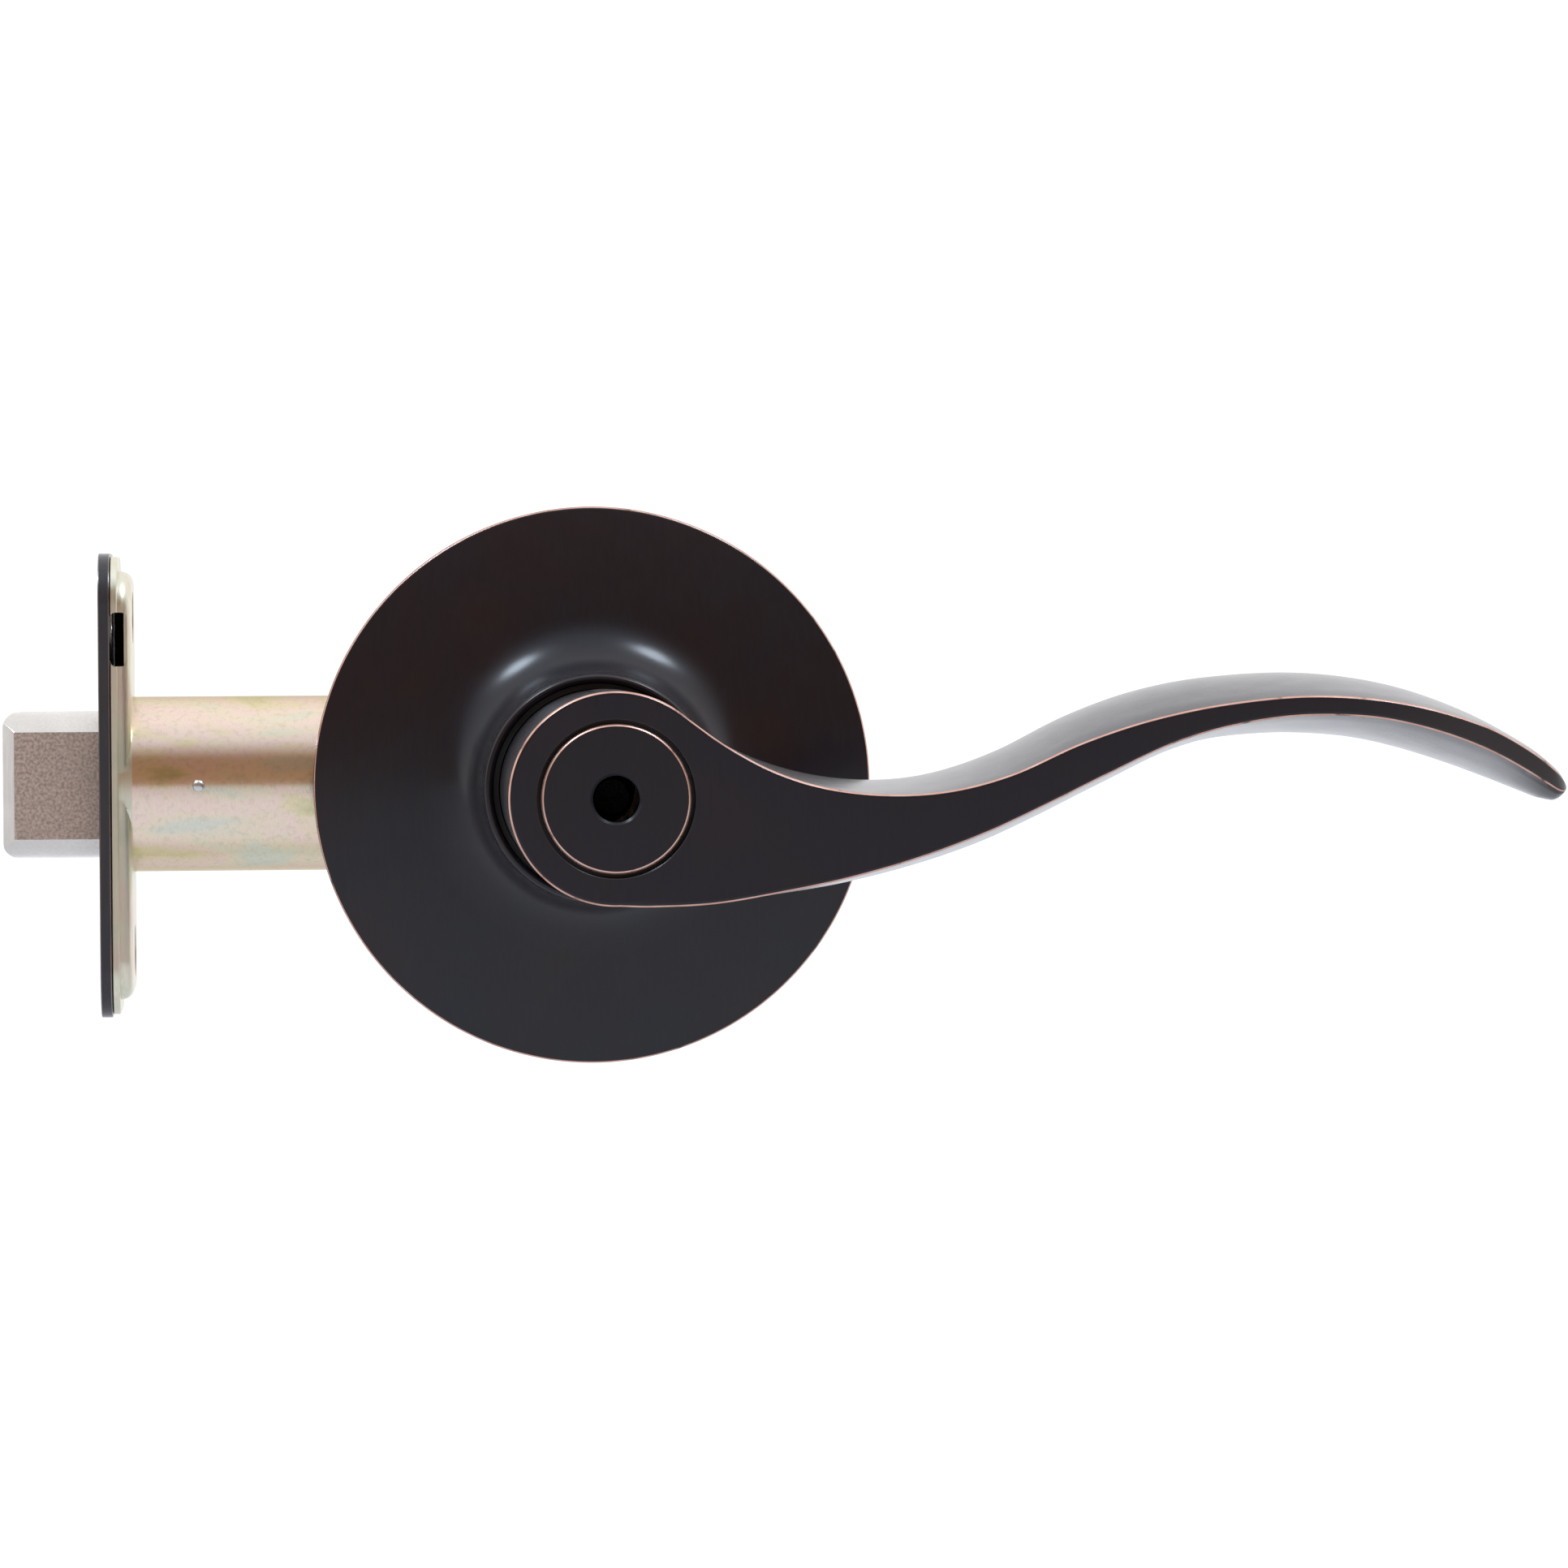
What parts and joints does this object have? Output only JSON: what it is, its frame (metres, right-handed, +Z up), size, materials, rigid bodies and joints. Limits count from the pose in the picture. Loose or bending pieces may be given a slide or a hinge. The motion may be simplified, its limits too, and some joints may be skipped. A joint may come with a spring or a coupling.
{
  "type": "door lever handle",
  "caption": "Privacy door lever with a wave-shaped handle on a round rose, with its square spindle, threaded posts and spring latch.",
  "frame": {"origin": "centre of the rose's back face, on the spindle axis, where the door's outside face is", "axes": "+Z up; -Y out of the door towards the user; the lever points along +X and the latch lies along -X"},
  "size_m": [0.1814, 0.113, 0.0678],
  "materials": {
    "dark_bronze": "satin dark bronze with copper rubbed edges",
    "dark_bronze_disc": "satin dark bronze with a copper rubbed rim",
    "dark_bronze_rose": "satin dark bronze, copper rubbed at the edge",
    "dark_bronze_plate": "satin dark bronze",
    "black_oxide": "black oxide",
    "spring_steel": "drawn spring wire and spring rings",
    "bright_zinc": "bright zinc plate",
    "black_nylon": "moulded black nylon",
    "plain_steel": "turned steel",
    "yellow_zinc": "yellow chromate on zinc plate",
    "pale_zinc": "pale yellow chromate on zinc plate",
    "yellow_zinc_tube": "iridescent yellow chromate on zinc plate",
    "nickel_bolt": "satin nickel with a sintered flat",
    "cast_zinc": "die-cast zinc"
  },
  "bodies": {
    "mounting": {"rose_cover": "dark_bronze_rose", "nylon_bushing": "black_nylon", "mounting_plate": "yellow_zinc", "threaded_posts": "bright_zinc", "spring_case": "yellow_zinc", "case_rivets": "bright_zinc", "return_spring": "spring_steel", "faceplate": "dark_bronze_plate", "backplate": "pale_zinc", "latch_tube": "yellow_zinc_tube", "tube_rivet": "bright_zinc", "spring_stop": "yellow_zinc", "bolt_spring": "spring_steel", "front_case_plate": "yellow_zinc", "rear_case_plate": "yellow_zinc", "case_spacers": "bright_zinc"},
    "lever": {"lever": "dark_bronze", "lever_insert": "dark_bronze_disc", "set_screw": "black_oxide", "rotor": "bright_zinc", "spindle": "bright_zinc", "spindle_retainer": "spring_steel", "release_spring": "spring_steel", "thrust_washer": "bright_zinc", "plate_washer": "bright_zinc", "retaining_ring": "spring_steel"},
    "release_rod": {"release_rod": "black_oxide"},
    "cam": {"latch_cam": "cast_zinc"},
    "bolt": {"latch_bolt": "nickel_bolt", "bolt_pin": "plain_steel", "retractor": "bright_zinc"}
  },
  "joints": [
    {"name": "lever_turn", "type": "hinge", "parent": "mounting", "child": "lever", "pos_m": [0, 0, 0], "axis": [0, 1, 0], "range_deg": [0, 60], "stiffness_Nm_per_rad": 1.2, "springref_deg": -17.19, "deforming": ["return_spring"]},
    {"name": "cam_turn", "type": "hinge", "parent": "mounting", "child": "cam", "pos_m": [0, 0.01745, 0], "axis": [0, 1, 0], "range_deg": [0, 60.1]},
    {"name": "bolt_slide", "type": "slide", "parent": "mounting", "child": "bolt", "axis": [1, 0, 0], "range_m": [0, 0.01185], "stiffness_N_per_m": 120, "springref_m": -0.02, "deforming": ["bolt_spring"]},
    {"name": "release_push", "type": "slide", "parent": "lever", "child": "release_rod", "axis": [0, 1, 0], "range_m": [0, 0.004], "stiffness_N_per_m": 150, "springref_m": -0.006, "deforming": ["release_spring"]}
  ],
  "couplings": [
    {"joint": "cam_turn", "follows": "lever_turn", "ratio": 1},
    {"joint": "bolt_slide", "follows": "lever_turn", "m_per_rad": 0.011268}
  ]
}
